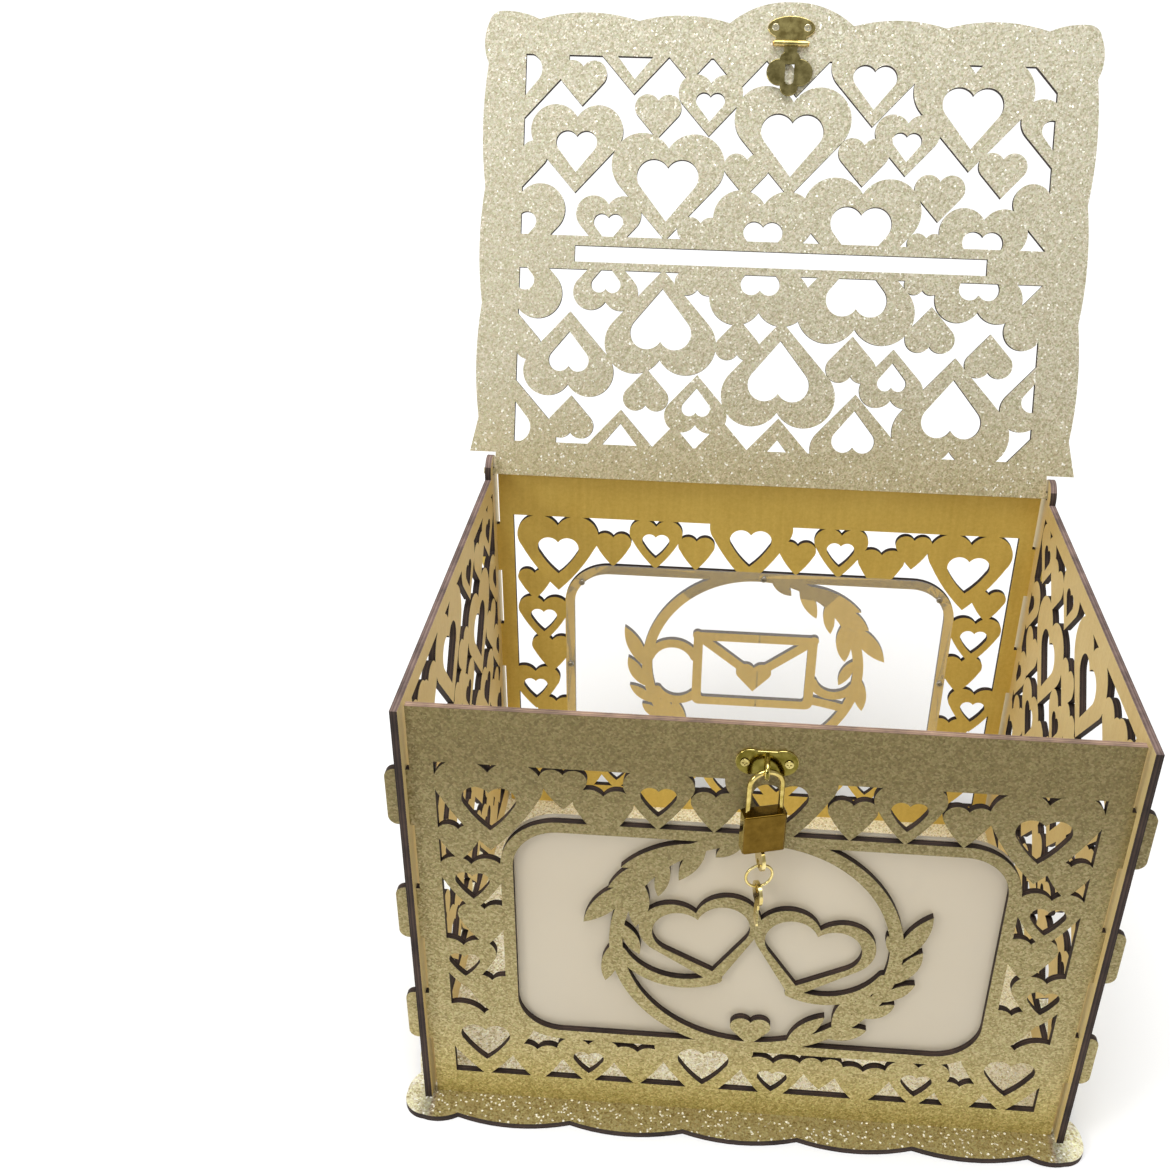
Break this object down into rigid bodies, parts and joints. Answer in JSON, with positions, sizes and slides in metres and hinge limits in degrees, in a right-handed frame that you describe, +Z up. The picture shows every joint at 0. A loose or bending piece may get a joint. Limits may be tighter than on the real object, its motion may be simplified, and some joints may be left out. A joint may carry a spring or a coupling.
{
  "type": "wedding card box",
  "caption": "Laser-cut plywood wedding card box with a pierced heart lattice, a slotted tilting lid, milky panes with wreath fretwork, and a brass hasp, staple and small padlock.",
  "frame": {"origin": "centre of the base plate's underside", "axes": "+Z up, -Y towards the box's front, +X to the right as seen from the front"},
  "size_m": [0.298, 0.3136, 0.423],
  "materials": {
    "glitter_board": "gold glitter outside, plain gold inside, dark laser-cut edges",
    "acrylic": "milky satin",
    "brass": "antique polished",
    "lock_brass": "lacquered brass",
    "key_brass": "bright plated",
    "screw_steel": "plain"
  },
  "bodies": {
    "root": {"base_plate": "glitter_board", "front_wall": "glitter_board", "back_wall": "glitter_board", "left_wall": "glitter_board", "right_wall": "glitter_board", "front_pane": "acrylic", "back_pane": "acrylic", "front_pane_screws": "screw_steel", "back_pane_screws": "screw_steel", "staple": "brass", "staple_screws": "brass"},
    "lid": {"lid_panel": "glitter_board", "hasp_leaf": "brass", "hasp_leaf_screws": "brass", "hasp_pin": "brass"},
    "hasp_flap": {"hasp_flap": "brass"},
    "shackle": {"padlock_shackle": "lock_brass"},
    "padlock": {"padlock_body": "lock_brass", "latch_spring": "screw_steel", "shackle_spring": "screw_steel"},
    "plug": {"lock_plug": "lock_brass"},
    "latch": {"padlock_latch": "screw_steel"},
    "key": {"lock_key": "key_brass"},
    "ring": {"key_ring": "key_brass"},
    "spare_key": {"spare_key": "key_brass"}
  },
  "joints": [
    {"name": "lid_hinge", "type": "hinge", "parent": "root", "child": "lid", "pos_m": [0, 0.10065, 0.21305], "axis": [1, 0, 0], "range_deg": [0, 113.4]},
    {"name": "hasp_hinge", "type": "hinge", "parent": "lid", "child": "hasp_flap", "pos_m": [0, 0.18051, 0.4059], "axis": [-1, 0, 0], "range_deg": [0, 175.1]},
    {"name": "padlock_swing", "type": "hinge", "parent": "root", "child": "shackle", "pos_m": [0, -0.1116, 0.19495], "axis": [-0.9613, -0.2756, 0], "range_deg": [0, 60]},
    {"name": "padlock_release", "type": "slide", "parent": "shackle", "child": "padlock", "axis": [0, 0, -1], "range_m": [0, 0.005]},
    {"name": "plug_turn", "type": "hinge", "parent": "padlock", "child": "plug", "pos_m": [0, -0.1116, 0.15935], "axis": [0, 0, 1], "range_deg": [-90, 0]},
    {"name": "latch_slide", "type": "slide", "parent": "padlock", "child": "latch", "axis": [0.9613, 0.2756, 0], "range_m": [0, 0.0009]},
    {"name": "key_withdraw", "type": "slide", "parent": "plug", "child": "key", "axis": [0, 0, -1], "range_m": [0, 0.0115]},
    {"name": "ring_swing", "type": "hinge", "parent": "key", "child": "ring", "pos_m": [0, -0.1116, 0.1504], "axis": [-0.9613, -0.2756, 0], "range_deg": [0, 60]},
    {"name": "spare_key_swing", "type": "hinge", "parent": "ring", "child": "spare_key", "pos_m": [0, -0.1116, 0.1398], "axis": [-0.9613, -0.2756, 0], "range_deg": [0, 50]}
  ],
  "couplings": [
    {"joint": "hasp_hinge", "follows": "lid_hinge", "ratio": 1.5432},
    {"joint": "latch_slide", "follows": "plug_turn", "m_per_rad": -0.00057}
  ]
}
